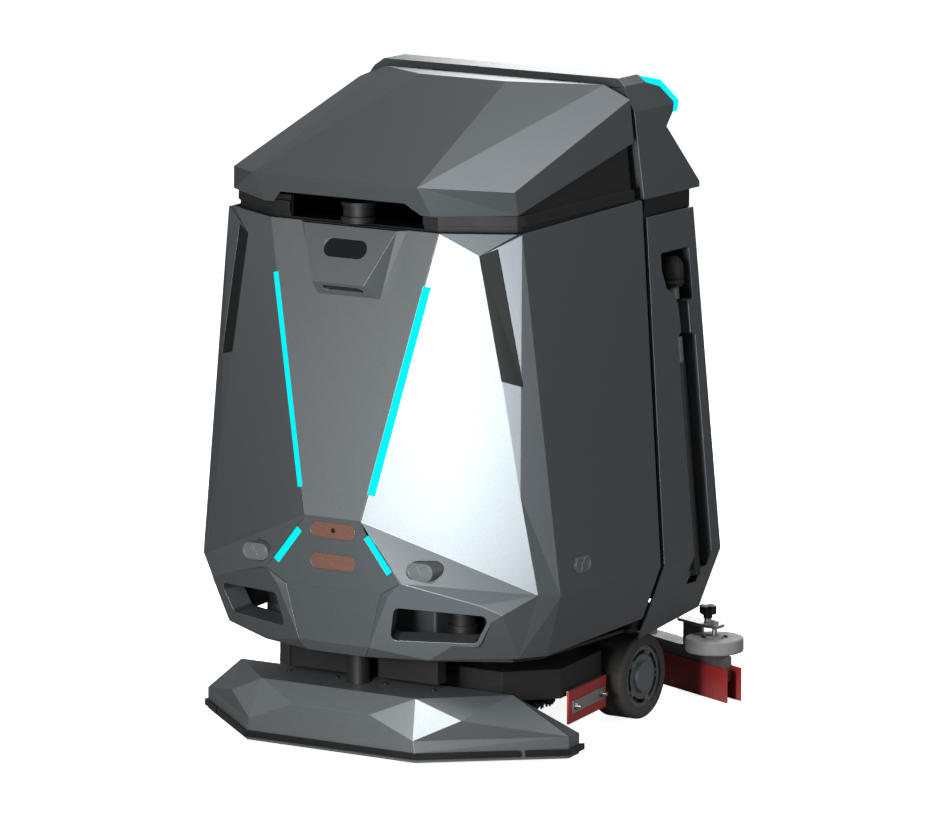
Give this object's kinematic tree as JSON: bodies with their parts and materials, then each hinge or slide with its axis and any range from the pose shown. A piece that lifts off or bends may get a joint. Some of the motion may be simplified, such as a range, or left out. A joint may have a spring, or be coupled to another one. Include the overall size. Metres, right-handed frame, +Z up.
{
  "type": "robotic floor cleaner",
  "caption": "Driverless floor scrubber: faceted sensor body over a scrub deck with disc brushes, rear squeegee with guide rollers and a sprung bumper.",
  "frame": {"origin": "on the floor, under the centre of the bounding box", "axes": "+Z up; the nose faces -Y and the tail +Y; +X is the side with the drain hose"},
  "size_m": [0.846, 0.9874, 1.241],
  "materials": {
    "body_paint": "satin slate-grey metallic paint",
    "panel_paint": "satin slate-grey metallic paint, a shade lighter",
    "nose_black": "satin black plastic",
    "window_bronze": "smoked bronze window",
    "inlay_black": "black inlay",
    "led_light": "light strip diffuser",
    "sensor_black": "black plastic",
    "sonar_black": "black plastic",
    "frame_black": "textured black plastic",
    "steel": "zinc-plated",
    "screen_glass": "screen",
    "yellow_plastic": "gloss",
    "red_plastic": "gloss",
    "hose_black": "matt",
    "neck_plastic": "moulded",
    "cap_black": "moulded",
    "chassis_paint": "black powder coat",
    "tyre": "matt",
    "hub_paint": "satin grey",
    "motor_paint": "satin dark grey",
    "red_rubber": "red squeegee rubber",
    "bristle": "nylon bristles",
    "cast_aluminium": "cast, matt",
    "roller_plastic": "grey polyurethane",
    "strip_rubber": "matt",
    "tank_plastic": "natural polyethylene"
  },
  "bodies": {
    "body": {"front_cover": "body_paint", "rear_shell": "body_paint", "centre_panel": "panel_paint", "nose_panel": "nose_black", "chin_panel": "panel_paint", "camera_visor": "body_paint", "camera_windows": "window_bronze", "visor_windows": "window_bronze", "corner_inlays": "inlay_black", "led_strips": "led_light", "depth_cameras": "sensor_black", "front_sonars": "sonar_black", "side_sonars": "sonar_black", "corner_lidars": "sensor_black", "top_lidar": "sensor_black", "upper_frame": "frame_black", "tail_cap": "body_paint", "tail_light": "frame_black", "hinge_pins": "steel", "display_screen": "screen_glass", "estop_collar": "yellow_plastic", "drain_hose": "hose_black", "drain_neck": "neck_plastic", "chassis_frame": "chassis_paint", "battery_pack": "sensor_black", "control_box": "motor_paint", "vacuum_motor": "motor_paint", "lift_actuators": "steel", "clean_tank": "tank_plastic", "recovery_tank": "tank_plastic"},
    "bumper": {"bumper_shell": "body_paint", "bumper_strip": "strip_rubber", "bumper_post": "steel", "bumper_screws": "steel"},
    "hood": {"hood": "body_paint"},
    "wheel_left": {"tyre_left": "tyre", "wheel_hub_left": "hub_paint"},
    "wheel_right": {"tyre_right": "tyre", "wheel_hub_right": "hub_paint"},
    "caster": {"caster_fork": "steel"},
    "caster_roll": {"caster_wheel": "tyre"},
    "deck": {"deck_housing": "chassis_paint", "deck_rod": "steel", "brush_motors": "motor_paint", "deck_skirts": "red_rubber", "skirt_clamps": "steel"},
    "brush_left": {"disc_brush_left": "bristle"},
    "brush_right": {"disc_brush_right": "bristle"},
    "squeegee": {"squeegee_blades": "red_rubber", "squeegee_body": "cast_aluminium", "squeegee_arm": "steel", "roller_brackets": "steel"},
    "roller_left": {"guide_roller_left": "roller_plastic"},
    "roller_right": {"guide_roller_right": "roller_plastic"},
    "knob_left": {"squeegee_knob_left": "cap_black"},
    "knob_right": {"squeegee_knob_right": "cap_black"},
    "estop": {"estop_button": "red_plastic"},
    "power": {"power_button": "sensor_black"},
    "hose_cap": {"drain_cap": "cap_black"},
    "filler_cap": {"tank_cap": "cap_black"}
  },
  "joints": [
    {"name": "bumper_press", "type": "slide", "parent": "body", "child": "bumper", "axis": [0, 1, 0], "range_m": [0, 0.015], "stiffness_N_per_m": 1500, "springref_m": -0.004},
    {"name": "hood_hinge", "type": "hinge", "parent": "body", "child": "hood", "pos_m": [0, 0.084, 1.222], "axis": [-1, 0, 0], "range_deg": [0, 70]},
    {"name": "drive_left", "type": "hinge", "parent": "body", "child": "wheel_left", "pos_m": [-0.2885, 0.109, 0.083], "axis": [1, 0, 0], "continuous": true},
    {"name": "drive_right", "type": "hinge", "parent": "body", "child": "wheel_right", "pos_m": [0.2885, 0.109, 0.083], "axis": [1, 0, 0], "continuous": true},
    {"name": "caster_swivel", "type": "hinge", "parent": "body", "child": "caster", "pos_m": [0, -0.3, 0.11], "axis": [0, 0, 1], "continuous": true},
    {"name": "caster_turn", "type": "hinge", "parent": "caster", "child": "caster_roll", "pos_m": [0, -0.276, 0.0375], "axis": [1, 0, 0], "continuous": true},
    {"name": "deck_lift", "type": "slide", "parent": "body", "child": "deck", "axis": [0, 0, 1], "range_m": [-0.038, 0]},
    {"name": "brush_spin_left", "type": "hinge", "parent": "deck", "child": "brush_left", "pos_m": [-0.134, -0.132, 0.09], "axis": [0, 0, 1], "continuous": true},
    {"name": "brush_spin_right", "type": "hinge", "parent": "deck", "child": "brush_right", "pos_m": [0.134, -0.132, 0.09], "axis": [0, 0, 1], "continuous": true},
    {"name": "squeegee_lift", "type": "slide", "parent": "body", "child": "squeegee", "axis": [0, 0, 1], "range_m": [0, 0.035]},
    {"name": "roller_turn_left", "type": "hinge", "parent": "squeegee", "child": "roller_left", "pos_m": [-0.366, 0.304, 0.118], "axis": [0, 0, 1], "continuous": true},
    {"name": "roller_turn_right", "type": "hinge", "parent": "squeegee", "child": "roller_right", "pos_m": [0.366, 0.304, 0.118], "axis": [0, 0, 1], "continuous": true},
    {"name": "knob_turn_left", "type": "hinge", "parent": "squeegee", "child": "knob_left", "pos_m": [-0.34, 0.322, 0.17], "axis": [0, 0, 1], "continuous": true},
    {"name": "knob_turn_right", "type": "hinge", "parent": "squeegee", "child": "knob_right", "pos_m": [0.34, 0.322, 0.17], "axis": [0, 0, 1], "continuous": true},
    {"name": "estop_press", "type": "slide", "parent": "body", "child": "estop", "axis": [0, -0.757, -0.6535], "range_m": [0, 0.004], "stiffness_N_per_m": 1500, "springref_m": -0.001},
    {"name": "power_press", "type": "slide", "parent": "body", "child": "power", "axis": [0, -0.757, -0.6535], "range_m": [0, 0.002], "stiffness_N_per_m": 900, "springref_m": -0.001},
    {"name": "hose_cap_turn", "type": "hinge", "parent": "body", "child": "hose_cap", "pos_m": [0.32, 0.20694, 0.829], "axis": [-0.1103, 0.0318, 0.9934], "range_deg": [0, 270]},
    {"name": "filler_cap_turn", "type": "hinge", "parent": "body", "child": "filler_cap", "pos_m": [0.12, -0.09, 1], "axis": [0, 0, 1], "range_deg": [0, 120]}
  ]
}
